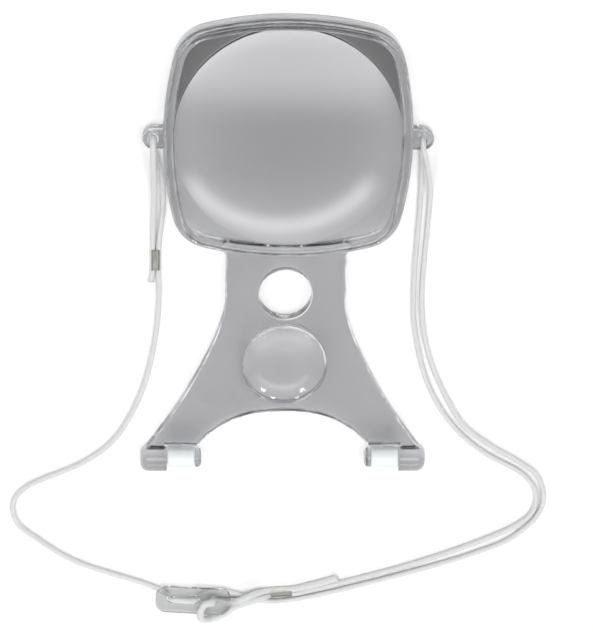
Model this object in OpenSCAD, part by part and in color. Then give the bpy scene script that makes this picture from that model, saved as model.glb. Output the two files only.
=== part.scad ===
// Hands-free magnifier: a clear acrylic moulding that hangs from a neck cord.
// It lies on its back: +Z is the way the lenses face, +Y is the top of the lens frame.

/* [Frame] */
// Width and height of the square frame across the middle of its sides
frame_size = 111; // [100:1:130]
// Radius of the outward bow of each side
frame_bow = 155; // [130:1:260]
// Radius of the frame's outer corners
frame_corner_r = 19; // [14:0.5:24]
// Depth of the rim from its back to the crown of its bead
frame_depth = 12.8; // [12.2:0.1:13.2]
// Width of the rim, which is also the width of its half-round bead
rim_w = 5; // [4.4:0.1:6]
// Chamfer on the rim's outer back edge
rim_back_edge = 1.2; // [0.4:0.1:2]
// Height of the rim's lip from the lens seat to the foot of the bead
lip_h = 3.5; // [2.5:0.1:4]

/* [Main lens] */
// Diameter of the magnifying dome
lens_dia = 101.6; // [90:0.2:103]
// Thickness of the flat web round the dome
lens_web_t = 2.5; // [2:0.1:3]
// Height of the straight step from the web to the dome
lens_step = 2; // [1:0.1:3]
// Rise of the front dome above its step
lens_front_rise = 7.5; // [5:0.1:10]
// Rise of the back dome below the web
lens_back_rise = 1; // [1:0.1:4]
// Width of the ledge that the web bears on
lens_ledge = 1.6; // [1:0.1:2]
// Gap round a lens in its seat
seat_clearance = 0.15; // [0.05:0.05:0.3]

/* [Ears] */
// Distance of each ear's hole outside the side of the frame
ear_reach = 4.3; // [3:0.1:8]
// Radius of an ear's round end
ear_r = 5; // [4.4:0.1:7]
// Thickness of an ear
ear_t = 7; // [5:0.1:7.2]
// Diameter of the cord hole in an ear
ear_hole_d = 3.1; // [2.8:0.1:3.6]
// Diameter of the hole's flared mouths
ear_mouth_d = 6.3; // [4.5:0.1:7]
// Chamfer round an ear's faces
ear_edge = 0.8; // [0.3:0.1:1.2]

/* [Plate] */
// Thickness of the plate and legs
plate_t = 7; // [5:0.1:7.2]
// Width of the neck below the frame
neck_w = 54.4; // [46:0.2:60]
// Radius of the fillets where the neck meets the frame
neck_fillet = 4; // [2:0.5:8]
// Chamfer round the plate's faces
plate_edge = 0.9; // [0.3:0.1:1.4]
// Diameter of the plain hole through the plate
hole_d = 23.5; // [18:0.1:25]
// Distance of that hole below the lens centre
hole_drop = 74; // [71.6:0.2:75]
// Chamfer of that hole's two mouths
hole_edge = 0.5; // [0.2:0.1:1]

/* [Spot lens] */
// Diameter of the strong spot lens
spot_dia = 38.3; // [30:0.1:39.5]
// Distance of the spot lens below the main lens centre
spot_drop = 108.2; // [106.5:0.2:109]
// Thickness of the spot lens's edge
spot_edge_t = 4; // [3:0.1:4.5]
// Width of the ledge that its edge bears on
spot_ledge = 1.4; // [1:0.1:2]
// Rise of its front dome
spot_front_rise = 4; // [2:0.1:5]
// Rise of its back dome
spot_back_rise = 0.4; // [0.3:0.1:3.2]

/* [Legs and feet] */
// Distance of the top of the arch between the legs below the lens centre
arch_drop = 131.6; // [130:0.2:134]
// Distance of the legs' lower edges below the lens centre
leg_drop = 148.7; // [147:0.1:149]
// Distance of the foot bars' axis below the lens centre
foot_drop = 155.6; // [155.2:0.1:157]
// Width over the two feet
foot_span = 131; // [124:0.2:136]
// Diameter of the drum at the outer end of each foot
foot_d = 12.8; // [12.2:0.1:13.6]
// Length of each drum
drum_len = 12.2; // [10:0.1:14]
// Radius of the drum's rounded outer end
drum_round = 4; // [2:0.1:5]
// Diameter of the peg that carries a sleeve
peg_d = 6; // [4:0.1:6.6]
// Outer diameter of a soft sleeve
sleeve_d = 9.4; // [8:0.1:10.4]
// Length of a soft sleeve
sleeve_len = 12.4; // [10:0.1:16]
// Gap between a peg and its sleeve all round
sleeve_clearance = 0.05; // [0.02:0.01:0.1]
// Gap at each end of a sleeve
sleeve_end_gap = 0.25; // [0.1:0.05:0.4]
// Diameter of the domed cap on a peg
cap_d = 9.2; // [8:0.1:10.4]
// Length of a cap
cap_len = 3; // [2.6:0.1:5]
// Depth of the socket in a cap
cap_socket = 1.8; // [1.2:0.1:2.2]

/* [Cord fittings] */
// Diameter of the braided cord
cord_d = 2.5; // [2:0.1:2.6]
// Length of the adjuster tab
tab_len = 35.3; // [30:0.1:40]
// Width of the adjuster tab
tab_w = 13.4; // [11:0.1:16]
// Thickness of the adjuster tab
tab_t = 2.2; // [1.6:0.1:2.3]
// Radius of the tab's corners
tab_corner_r = 5; // [2:0.5:5.5]
// Diameter of the tab's three holes
tab_hole_d = 4.2; // [3.6:0.1:5]
// Length of a crimped clip
clip_len = 9.8; // [8:0.1:9.9]
// Width of a clip
clip_w = 4.1; // [3.4:0.1:5]
// Height of a clip
clip_h = 2.9; // [2.4:0.1:3.4]
// Thickness of a clip's metal
clip_wall = 0.4; // [0.3:0.05:0.6]

/* [Hidden] */
$fn = 96;

acrylic = [0.78, 0.80, 0.82, 0.55];
lens_clear = [0.86, 0.88, 0.90, 0.45];
soft_white = [0.93, 0.95, 0.95];
cord_white = [0.88, 0.88, 0.87];
plated = [0.55, 0.54, 0.50];

// A cut or a hidden overlap runs this far past the face it leaves
past = 1;
// A piece that is carried by another is rooted this deep in it
root = 2;

half = frame_size / 2;
mid_z = foot_d / 2;
lens_y = (foot_drop + foot_d / 2 - half) / 2;
frame_back = mid_z - frame_depth / 2;
bead_r = rim_w / 2;
// The bead stands this far proud of the rim's walls
bead_proud = 0.05;
// A rim corner is this much smaller all round, and runs this many degrees into the sides
seam_skin = 0.02;
seam_a = 1;
bead_z = frame_back + frame_depth - bead_r;
seat_z = bead_z - lip_h;
web_back = seat_z - lens_web_t;
plate_back = mid_z - plate_t / 2;
plate_front = mid_z + plate_t / 2;
foot_y = lens_y - foot_drop;
drum_inner = foot_span / 2 - drum_len;
sleeve_outer = drum_inner - sleeve_end_gap;
sleeve_inner = sleeve_outer - sleeve_len;
cap_outer = sleeve_inner - sleeve_end_gap;
peg_end = cap_outer - cap_socket;

// Centre of a bowed side's arc, measured inwards from the lens centre
bow_k = frame_bow - half;
// Place of a corner's arc centre along both axes, where it touches two bowed sides inside
corner_c = (-bow_k + sqrt(2 * pow(frame_bow - frame_corner_r, 2) - bow_k * bow_k)) / 2;
// Half the angle that one bowed side covers
side_a = atan2(corner_c, corner_c + bow_k);

function rev(v) = [for (i = [len(v) - 1 : -1 : 0]) v[i]];
function mirror_x(v) = [for (p = v) [-p[0], p[1]]];
function unit(v) = v / norm(v);
function bezier(a, b, c, d, n) = [
    for (i = [0 : n])
        let (t = i / n, s = 1 - t)
        s * s * s * a + 3 * s * s * t * b + 3 * s * t * t * c + t * t * t * d
];
function arc(centre, r, from, to, n) = [
    for (i = [0 : n])
        let (a = from + (to - from) * i / n)
        centre + r * [cos(a), sin(a)]
];

// Outline of the frame, drawn in by a distance on all sides
function bowed_square(inset) = [
    for (q = [0 : 3])
        let (side = arc([-bow_k, 0], frame_bow - inset, -side_a, side_a, 8),
             corner = arc([corner_c, corner_c], frame_corner_r - inset, side_a, 90 - side_a, 6),
             quarter = concat(side, [for (i = [1 : 5]) corner[i]]))
        for (p = quarter) [p[0] * cos(90 * q) - p[1] * sin(90 * q), p[0] * sin(90 * q) + p[1] * cos(90 * q)]
];

// Right half of the plate's outline, from the arch round the foot and up to the frame
neck_x = neck_w / 2;
leg_edge_x = foot_span / 2 - 1.9;
leg_edge_y = lens_y - foot_drop + 5.5;
leg_toe_x = drum_inner - 13.8;
arch_y = lens_y - arch_drop;
leg_y = lens_y - leg_drop;
neck_y = lens_y - 77;
arch_curve = bezier([0, arch_y], [20, arch_y], [leg_toe_x - 9.5, leg_y + 10.7], [leg_toe_x, leg_y], 7);
flare_curve = bezier([leg_edge_x, leg_edge_y], [leg_edge_x - 17.7, leg_edge_y + 23.1],
                     [neck_x, neck_y - 15], [neck_x, neck_y], 9);
function rim_y(x, inset) = lens_y + bow_k - sqrt(pow(frame_bow - inset, 2) - x * x);
plate_right = concat(
    arch_curve,
    [[drum_inner + 0.6, leg_y], [drum_inner + 0.6, foot_y], [leg_edge_x - 0.7, foot_y]],
    flare_curve,
    [for (k = [3 : -1 : 1]) [neck_x * k / 3, rim_y(neck_x * k / 3, root)]]
);
plate_outline = concat(
    plate_right,
    [[0, rim_y(0, root)]],
    rev(mirror_x([for (i = [1 : len(plate_right) - 1]) plate_right[i]]))
);

// Unit-distance mitre at each corner of an outline that runs anticlockwise, pointing inwards
function mitres(p) =
    let (n = len(p))
    [for (i = [0 : n - 1])
        let (a = unit(p[i] - p[(i + n - 1) % n]),
             b = unit(p[(i + 1) % n] - p[i]),
             na = [-a[1], a[0]],
             nb = [-b[1], b[0]])
        (na + nb) / (1 + na * nb)];

// Chamfer cutter: a three-sided bar that follows an outline along one face of a plate.
// up is 1 at a top face and -1 at a bottom face
module edge_cutter(outline, z, size, up) {
    n = len(outline);
    m = mitres(outline);
    g = 0.4;
    section = [[-g, -size - g], [size + g, g], [-g, g]];
    order = up > 0 ? [0, 1, 2] : [2, 1, 0];
    points = [
        for (i = [0 : n - 1])
            for (k = order)
                let (q = outline[i] + section[k][0] * m[i])
                [q[0], q[1], z + up * section[k][1]]
    ];
    faces = [
        for (i = [0 : n - 1])
            for (k = [0 : 2])
                let (a = 3 * i + k, b = 3 * i + (k + 1) % 3, j = 3 * ((i + 1) % n))
                for (t = [[a, j + k, j + (k + 1) % 3], [a, j + (k + 1) % 3, b]])
                    t
    ];
    polyhedron(points, faces, convexity = 10);
}

// Section of the rim on an arc of radius r, with the lens ledge cut from its inner side.
// skin makes it smaller all round
module rim_section(r, skin = 0) {
    back = frame_back + skin;
    seat = seat_z + skin;
    wall = r - rim_w + lens_ledge + skin;
    out = r - bead_proud - skin;
    in = r - rim_w + bead_proud + skin;
    union() {
        polygon([
            [in, bead_z], [in, seat], [wall, seat], [wall, back],
            [out - rim_back_edge, back], [out, back + rim_back_edge], [out, bead_z]
        ]);
        translate([r - bead_r, bead_z]) circle(r = bead_r - skin);
    }
}

module rim() {
    for (q = [0 : 3])
        rotate([0, 0, 90 * q]) {
            translate([-bow_k, 0, 0])
                rotate_extrude(angle = 2 * side_a, start = -side_a, $fn = 360)
                    rim_section(frame_bow);
            translate([corner_c, corner_c, 0])
                rotate_extrude(angle = 90 - 2 * side_a + 2 * seam_a, start = side_a - seam_a)
                    rim_section(frame_corner_r, seam_skin);
        }
}

// Fillet web between the neck and the underside of the frame, for x > 0
module neck_fillet_web() {
    r = neck_fillet;
    cx = neck_x + r;
    cy = lens_y + bow_k - sqrt(pow(frame_bow + r, 2) - cx * cx);
    touch = frame_bow / (frame_bow + r);
    tx = cx * touch;
    ty = lens_y + bow_k - (lens_y + bow_k - cy) * touch;
    translate([0, 0, plate_back + plate_edge])
        linear_extrude(plate_t - 2 * plate_edge)
            difference() {
                polygon([
                    [neck_x - past, cy], [cx, cy], [tx, ty],
                    [tx - 0.3, ty + root], [neck_x - past, ty + root]
                ]);
                translate([cx, cy]) circle(r = r);
            }
}

module ear() {
    back = mid_z - ear_t / 2;
    e = ear_edge;
    x = half + ear_reach;
    profile = [[-ear_r, e], [-ear_r + e, 0], [ear_r - e, 0], [ear_r, e],
               [ear_r, ear_t - e], [ear_r - e, ear_t], [-ear_r + e, ear_t], [-ear_r, ear_t - e]];
    translate([x, lens_y, back]) rotate_extrude() polygon([for (p = profile) if (p[0] > 0) p, [0, ear_t], [0, 0]]);
    translate([half - root, lens_y, back])
        rotate([90, 0, 90])
            linear_extrude(ear_reach + root)
                polygon(profile);
}

module ear_bore() {
    back = mid_z - ear_t / 2;
    flare = (ear_mouth_d - ear_hole_d) / 2;
    translate([half + ear_reach, lens_y, back]) {
        translate([0, 0, -past]) cylinder(d = ear_hole_d, h = ear_t + 2 * past);
        translate([0, 0, ear_t - flare])
            cylinder(d1 = ear_hole_d, d2 = ear_mouth_d + 2 * past, h = flare + past);
        translate([0, 0, -past])
            cylinder(d1 = ear_mouth_d + 2 * past, d2 = ear_hole_d, h = flare + past);
    }
}

// Drum, peg and the rounded outer end of one foot, turned about the foot axis
module foot_bar() {
    r = foot_d / 2;
    translate([0, foot_y, mid_z])
        rotate([0, 90, 0])
            union() {
                translate([0, 0, drum_inner])
                    rotate_extrude()
                        union() {
                            square([r, drum_len - drum_round]);
                            square([r - drum_round, drum_len]);
                            intersection() {
                                square([r, drum_len]);
                                translate([r - drum_round, drum_len - drum_round]) circle(r = drum_round);
                            }
                        }
                translate([0, 0, peg_end])
                    cylinder(d = peg_d, h = drum_inner - peg_end + past);
            }
}

module plate() {
    difference() {
        translate([0, 0, plate_back]) linear_extrude(plate_t) polygon(plate_outline);
        edge_cutter(plate_outline, plate_front, plate_edge, 1);
        edge_cutter(plate_outline, plate_back, plate_edge, -1);
    }
}

// Plain hole and the stepped seat of the spot lens
module plate_bores() {
    translate([0, lens_y - hole_drop, plate_back]) {
        translate([0, 0, -past]) cylinder(d = hole_d, h = plate_t + 2 * past);
        translate([0, 0, plate_t - hole_edge])
            cylinder(d1 = hole_d, d2 = hole_d + 2 * (hole_edge + past), h = hole_edge + past);
        translate([0, 0, -past])
            cylinder(d1 = hole_d + 2 * (hole_edge + past), d2 = hole_d, h = hole_edge + past);
    }
    translate([0, lens_y - spot_drop, 0]) {
        translate([0, 0, plate_front - spot_edge_t])
            cylinder(d = spot_dia + 2 * seat_clearance, h = spot_edge_t + past);
        translate([0, 0, plate_back - past])
            cylinder(d = spot_dia - 2 * spot_ledge, h = plate_t);
    }
}

module body_moulding() {
    color(acrylic)
        difference() {
            union() {
                translate([0, lens_y, 0]) rim();
                plate();
                for (m = [0, 1])
                    mirror([m, 0, 0]) {
                        neck_fillet_web();
                        ear();
                        foot_bar();
                    }
            }
            plate_bores();
            ear_bore();
            mirror([1, 0, 0]) ear_bore();
        }
}

// Section of a spherical dome of a given half-width and rise, for turning about Z
module dome_section(r, rise, base) {
    sphere_r = (r * r + rise * rise) / (2 * rise);
    intersection() {
        translate([0, base]) square([r, rise]);
        translate([0, base + rise - sphere_r])
            circle(r = sphere_r, $fn = max(720, ceil(24 * 360 / asin(r / sphere_r))));
    }
}

module main_lens() {
    color(lens_clear)
        translate([0, lens_y, 0])
            union() {
                translate([0, 0, web_back])
                    linear_extrude(lens_web_t)
                        polygon(bowed_square(rim_w - lens_ledge + seat_clearance));
                intersection() {
                    translate([0, 0, web_back - lens_back_rise - past])
                        linear_extrude(lens_back_rise + lens_web_t + lens_step + lens_front_rise + 2 * past)
                            polygon(bowed_square(rim_w + seat_clearance));
                    rotate_extrude($fn = 180)
                        union() {
                            translate([0, web_back]) square([lens_dia / 2, lens_web_t + lens_step]);
                            dome_section(lens_dia / 2, lens_front_rise, seat_z + lens_step);
                            mirror([0, 1]) dome_section(lens_dia / 2, lens_back_rise, -web_back);
                        }
                }
            }
}

// Solid cap of a sphere, of a given base radius and rise, that stands on z = 0
module dome_cap(r, rise) {
    sphere_r = (r * r + rise * rise) / (2 * rise);
    intersection() {
        translate([0, 0, rise - sphere_r]) sphere(r = sphere_r, $fn = 360);
        translate([0, 0, -past]) cylinder(r = r, h = rise + 2 * past, $fn = 180);
    }
}

module spot_lens() {
    r = spot_dia / 2;
    back_r = r - spot_ledge - seat_clearance;
    back = plate_front - spot_edge_t;
    color(lens_clear)
        translate([0, lens_y - spot_drop, 0])
            union() {
                translate([0, 0, back]) cylinder(r = r, h = spot_edge_t, $fn = 180);
                translate([0, 0, plate_front]) dome_cap(r - 0.1, spot_front_rise);
                translate([0, 0, back]) mirror([0, 0, 1]) dome_cap(back_r, spot_back_rise);
            }
}

module foot_sleeve() {
    e = 0.4;
    r = sleeve_d / 2;
    bore = peg_d / 2 + sleeve_clearance;
    translate([sleeve_inner, foot_y, mid_z])
        rotate([0, 90, 0])
            rotate_extrude()
                polygon([
                    [bore, 0], [r - e, 0], [r, e], [r, sleeve_len - e], [r - e, sleeve_len],
                    [bore, sleeve_len]
                ]);
}

// Domed button pressed on the inner end of a peg
module foot_cap() {
    r = cap_d / 2;
    translate([cap_outer, foot_y, mid_z])
        rotate([0, -90, 0])
            difference() {
                rotate_extrude()
                    union() {
                        square([r, cap_len / 3]);
                        dome_section(r, cap_len * 2 / 3, cap_len / 3);
                    }
                translate([0, 0, -past]) cylinder(d = peg_d + 0.04, h = cap_socket + past);
            }
}

module foot_sleeve_left() { color(soft_white) mirror([1, 0, 0]) foot_sleeve(); }
module foot_sleeve_right() { color(soft_white) foot_sleeve(); }
module foot_cap_left() { color(acrylic) mirror([1, 0, 0]) foot_cap(); }
module foot_cap_right() { color(acrylic) foot_cap(); }

// Adjuster tab: where it lies, and its three holes along its length
tab_at = [-40.7, -177, 3];
tab_turn = -3.5;
tab_holes = [-10.5, 1, 9];
tab_hole_y = 0.6;

module rounded_rect(w, h, r) {
    union() {
        square([w - 2 * r, h], center = true);
        square([w, h - 2 * r], center = true);
        for (x = [-1, 1], y = [-1, 1])
            translate([x * (w / 2 - r), y * (h / 2 - r)]) circle(r = r);
    }
}

module cord_adjuster() {
    color(acrylic)
        translate(tab_at)
            rotate([0, 0, tab_turn])
                difference() {
                    linear_extrude(tab_t) rounded_rect(tab_len, tab_w, tab_corner_r);
                    for (x = tab_holes)
                        translate([x, tab_hole_y, -past]) cylinder(d = tab_hole_d, h = tab_t + 2 * past);
                }
}

// Folded metal clip, pinched on two strands of cord. It runs along +Y from its lower end
clip_floor = 0.05;
clip_left_at = [-58.6, -11.8];
clip_left_turn = 0;
clip_right_at = [-4.3, -174.55];
clip_right_turn = -86;

module clip_place(at, turn) {
    translate([at[0], at[1], clip_floor + clip_h / 2]) rotate([0, 0, turn]) rotate([-90, 0, 0]) children();
}

module clip() {
    color(plated)
        linear_extrude(clip_len)
            difference() {
                rounded_rect(clip_w, clip_h, 1);
                rounded_rect(clip_w - 2 * clip_wall, clip_h - 2 * clip_wall, 0.6);
            }
}

// Flattened cord inside a clip
module pinched_cord() {
    gap = 0.02;
    linear_extrude(clip_len)
        rounded_rect(clip_w - 2 * clip_wall - gap, clip_h - 2 * clip_wall - gap, 0.58);
}

module cord_clip_left() { clip_place(clip_left_at, clip_left_turn) clip(); }
module cord_clip_right() { clip_place(clip_right_at, clip_right_turn) clip(); }

// Cord routes, in millimetres, as the cord lies
floor_z = 1.3;
eye_route = [
    [-57.3, -1.8, 1.3], [-55.4, 18, floor_z], [-55.6, 30, floor_z], [-59.6, 49.6, 1.4],
    [-59.8, 52.4, 2.4], [-59.8, 53.25, 4.4], [-59.8, 53.25, 8.7], [-59.8, 52.4, 10.6],
    [-59.8, 50, 11.3], [-59.7, 45, 11], [-59.3, 30, 4.7], [-59.4, 18, 1.7], [-59.9, -1.8, 1.3]
];
tail_left_route = [[-59.95, -12.1, 1.3], [-60.9, -18.4, floor_z]];
lead_route = [
    [-57.3, -11.9, 1.3], [-57.2, -28, floor_z], [-59.2, -48, floor_z], [-65, -72, floor_z],
    [-77, -95, floor_z], [-91.4, -107, floor_z], [-118.6, -120.2, floor_z], [-124.4, -128, floor_z],
    [-122.6, -138, floor_z], [-112.5, -147, floor_z], [-96, -157.8, floor_z], [-62, -170.2, floor_z],
    [-53.6, -174.3, floor_z], [-51.6, -175.5, 2.3], [-51.1, -175.75, 5.6], [-49.6, -175.6, 6.6],
    [-41.2, -176.2, 6.6], [-39.75, -176.45, 5.6], [-39.7, -176.45, 4.1]
];
outer_route = [
    [-39.7, -176.45, 4.1], [-39.65, -176.45, 2.6], [-37.4, -175.6, floor_z], [-31, -173.6, floor_z],
    [-23.5, -174.1, floor_z], [-13, -177.8, floor_z], [-5, -179, floor_z], [10, -177.4, floor_z],
    [75.3, -159.5, floor_z], [93, -153.2, floor_z], [107, -146.8, floor_z], [119, -135.6, floor_z],
    [122.2, -126.5, floor_z], [118.6, -114.2, floor_z], [96, -98.5, floor_z], [84, -89, floor_z],
    [73, -70.5, floor_z], [65.4, -50, floor_z], [62.3, -28, floor_z], [64.2, 19, floor_z],
    [64.1, 28, 3.9], [61.6, 43.5, 10.6], [59.9, 50, 11.3], [59.8, 52.4, 10.6],
    [59.8, 53.25, 8.7], [59.8, 53.25, 6.4]
];
inner_route = [
    [59.8, 53.25, 6.4], [59.8, 53.25, 4.4], [59.8, 52.4, 2.4], [59.8, 49.6, 1.4], [60.3, 28, floor_z],
    [58.4, -20, floor_z], [59.4, -40, floor_z], [66.4, -68, floor_z], [78, -88, floor_z],
    [92, -101.3, floor_z], [112.6, -114, floor_z], [118.3, -122.6, floor_z],
    [117.6, -132, floor_z], [111, -139, floor_z], [68, -157.6, floor_z], [13.5, -173.5, floor_z],
    [9.5, -174.6, floor_z], [5.65, -175.14, 1.3]
];
end_loop_route = [
    [-4.75, -175.9, 1.3], [-9, -176.4, 3.3], [-13, -177.1, 4.3], [-22.5, -182.4, 1.5],
    [-27.6, -186.4, floor_z], [-32.6, -188, 1.5], [-35.6, -186.8, 3.9], [-37, -185.2, 6.2],
    [-37.4, -181.5, 6.6], [-35, -177.6, 6.6], [-33.1, -177.1, 6.6], [-31.75, -176.95, 5.6],
    [-31.6, -176.95, 2.3], [-29.6, -177.7, floor_z], [-23, -178.7, floor_z], [-19, -176.9, 4.3],
    [-12, -173.9, 3.9], [-4.85, -173.2, 1.3]
];
tail_right_route = [[5.8, -172.45, 1.4], [14.4, -170.6, floor_z], [27.4, -166.7, floor_z]];

// Tangent at each point of a route; its ends point straight along their last stretch
function tangents(p) =
    let (n = len(p))
    [for (i = [0 : n - 1]) unit(p[min(i + 1, n - 1)] - p[max(i - 1, 0)])];
// One vector square to each tangent, carried along the route without twist
function carried(t) = [
    for (i = 0, v = unit(cross(t[0], [0.3, 0.2, 1]));
         i < len(t);
         i = i + 1, v = i < len(t) ? unit(v - (v * t[i]) * t[i]) : v)
        v
];

// Plain tube of eight sides along a route
module cord(route, sides = 8) {
    n = len(route);
    t = tangents(route);
    u = carried(t);
    points = [
        for (i = [0 : n - 1])
            let (w = cross(t[i], u[i]))
            for (k = [0 : sides - 1])
                route[i] + cord_d / 2 * (cos(360 * k / sides) * u[i] + sin(360 * k / sides) * w)
    ];
    faces = concat(
        [[for (k = [0 : sides - 1]) k]],
        [for (i = [0 : n - 2], k = [0 : sides - 1])
            let (a = sides * i + k, b = sides * i + (k + 1) % sides)
            for (f = [[a, a + sides, b + sides], [a, b + sides, b]])
                f],
        [[for (k = [sides - 1 : -1 : 0]) sides * (n - 1) + k]]
    );
    color(cord_white) polyhedron(points, faces, convexity = 10);
}

module cord_left_eye() {
    cord(eye_route);
    color(cord_white) clip_place(clip_left_at, clip_left_turn) pinched_cord();
}
module cord_tail_left() { cord(tail_left_route); }
module cord_left_lead() { cord(lead_route); }
module cord_right_outer() { cord(outer_route); }
module cord_right_inner() { cord(inner_route); }
module cord_end_loop() {
    cord(end_loop_route);
    color(cord_white) clip_place(clip_right_at, clip_right_turn) pinched_cord();
}
module cord_tail_right() { cord(tail_right_route); }

body_moulding();
main_lens();
spot_lens();
foot_sleeve_left();
foot_sleeve_right();
foot_cap_left();
foot_cap_right();
cord_adjuster();
cord_clip_left();
cord_clip_right();
cord_left_eye();
cord_tail_left();
cord_left_lead();
cord_right_outer();
cord_right_inner();
cord_end_loop();
cord_tail_right();
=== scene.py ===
# %% [markdown]
# # A hands-free magnifier in clear acrylic
# This lesson builds the looks of a magnifier that hangs from a neck cord. It is one clear moulding with a
# big bowed-square lens, a small strong lens, two sleeved feet and a braided cord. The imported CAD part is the
# fixed frame: every piece made here takes the place of CAD nodes and keeps to their sizes.

import math

import bpy
import numpy as np
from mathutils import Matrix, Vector


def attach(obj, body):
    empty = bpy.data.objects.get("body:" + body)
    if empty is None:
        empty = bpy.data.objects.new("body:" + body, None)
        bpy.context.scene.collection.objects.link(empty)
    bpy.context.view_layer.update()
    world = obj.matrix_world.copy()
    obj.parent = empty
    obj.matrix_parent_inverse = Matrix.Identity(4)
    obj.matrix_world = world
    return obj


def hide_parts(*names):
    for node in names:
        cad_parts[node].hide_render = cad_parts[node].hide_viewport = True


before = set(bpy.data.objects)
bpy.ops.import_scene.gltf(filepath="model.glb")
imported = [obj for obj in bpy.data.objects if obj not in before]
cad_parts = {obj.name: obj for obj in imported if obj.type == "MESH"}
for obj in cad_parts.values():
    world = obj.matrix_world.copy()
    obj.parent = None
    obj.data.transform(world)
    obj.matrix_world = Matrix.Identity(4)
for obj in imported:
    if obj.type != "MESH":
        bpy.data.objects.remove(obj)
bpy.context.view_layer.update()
print("CAD nodes:", len(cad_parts))

# %% [markdown]
# ## Shared sizes
# Sizes are in millimetres, as on a drawing, and are turned into metres only where a mesh is made. The
# magnifier lies on its back: +Z is the way the lenses face, +Y is the top of the lens frame. Each side of
# that frame is bowed, so its outline is four wide arcs joined by four corner arcs.

# %% Sizes, in millimetres
MM = 0.001  # one millimetre in metres
HALF = 55.5  # half the frame's width, at the middle of a side
BOW = 155.0  # radius of a bowed side
CORNER_R = 19.0  # radius of a corner
LENS_Y = 53.25  # the main lens's centre
PLATE_BACK, PLATE_FRONT = 2.9, 9.9  # the plate's two faces
MID_Z = 6.4  # halfway between them, which is also the feet's axis
FOOT_Y = LENS_Y - 155.6  # the feet's axis
RIM_W, FRAME_WALL = 5.0, 3.4  # width of the rim in front of the lens, and of its wall beside the lens
SEAT_Z = 6.8  # the ledge that the lens's web is bonded to

bow_k = BOW - HALF  # how far past the lens centre a side's arc has its own centre
corner_c = (-bow_k + math.sqrt(2 * (BOW - CORNER_R) ** 2 - bow_k**2)) / 2
side_a = math.atan2(corner_c, corner_c + bow_k)
print("side half angle", round(math.degrees(side_a), 2), "corner centre", round(corner_c, 2))

# %% [markdown]
# ## Meshes from grids of points
# A mesh is a set of points worked out with numpy and a list of faces. Most pieces here are grids of points:
# joined at both ends they make a ring, and closed on two poles they make a solid with one skin. Clear
# plastic needs that, because any face left inside would show.


# %% Mesh helpers
SHARP_DEG = 32  # an edge bent more than this stays sharp, unless a piece says otherwise


def smooth(mesh, sharp_deg):
    """Smooth shading everywhere but across edges whose faces meet at more than sharp_deg degrees."""
    mesh.polygons.foreach_set("use_smooth", np.ones(len(mesh.polygons), bool))
    mesh.set_sharp_from_angle(angle=math.radians(sharp_deg))


def make_mesh(name, points_mm, faces, sharp_deg=SHARP_DEG):
    """Object with its points given in millimetres. Edges bent more than sharp_deg degrees stay sharp."""
    mesh = bpy.data.meshes.new(name)
    mesh.from_pydata((np.asarray(points_mm, float) * MM).tolist(), [], faces)
    mesh.validate()
    obj = bpy.data.objects.new(name, mesh)
    bpy.context.scene.collection.objects.link(obj)
    smooth(mesh, sharp_deg)
    return obj


def grid_faces(rows, cols, close_rows=False):
    """Quads between neighbouring points of a grid stored row by row: (i, j), (i, j+1), (i+1, j+1), (i+1, j).
    Each row closes on itself, and with close_rows the last row meets the first."""
    i, j = np.meshgrid(np.arange(rows if close_rows else rows - 1), np.arange(cols), indexing="ij")
    below, above, ahead = i * cols, (i + 1) % rows * cols, (j + 1) % cols
    return np.stack([below + j, below + ahead, above + ahead, above + j], axis=-1).reshape(-1, 4).tolist()


def capped_faces(rows, cols):
    """Faces of a grid whose first and last rows each close on a pole. The two poles follow its points."""
    pole, last = rows * cols, (rows - 1) * cols
    here = np.arange(cols)
    ahead = (here + 1) % cols
    first_fan = np.stack([np.full(cols, pole), ahead, here], axis=-1)
    last_fan = np.stack([np.full(cols, pole + 1), last + here, last + ahead], axis=-1)
    return grid_faces(rows, cols) + first_fan.tolist() + last_fan.tolist()


print("faces of a capped 3 by 8 grid:", len(capped_faces(3, 8)))

# %% [markdown]
# ## Turned pieces and plates
# Drums, buttons, lenses and drilled holes are all turned: a profile goes round an axis, as on a lathe. The
# plate, the ears and the tab are flat with rounded edges: an outline is stacked while it shrinks a little
# towards each face. A round edge catches a thin highlight, which is most of what the eye sees of clear
# plastic.


# %% Profiles, turning and stacking
def round_corner(centre, radius, start_deg, end_deg, steps=6):
    """Points of a circular arc: centre + radius (cos a, sin a), a running between the two angles."""
    a = np.radians(np.linspace(start_deg, end_deg, steps + 1))
    return np.stack([centre[0] + radius * np.cos(a), centre[1] + radius * np.sin(a)], axis=-1)


def rounded_rect(width, height, radius, steps):
    """Anticlockwise outline of a rectangle whose four corners are arcs, from the top of its right side."""
    x, y = width / 2 - radius, height / 2 - radius
    corners = ((x, y, 0), (-x, y, 90), (-x, -y, 180), (x, -y, 270))
    return np.vstack([round_corner((cx, cy), radius, start, start + 90, steps) for cx, cy, start in corners])


def bezier(a, b, c, d, steps):
    """Cubic curve (1-t)^3 a + 3 (1-t)^2 t b + 3 (1-t) t^2 c + t^3 d."""
    t = np.linspace(0, 1, steps + 1)[:, None]
    a, b, c, d = (np.array(p, float) for p in (a, b, c, d))
    return (1 - t) ** 3 * a + 3 * (1 - t) ** 2 * t * b + 3 * (1 - t) * t**2 * c + t**3 * d


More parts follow.
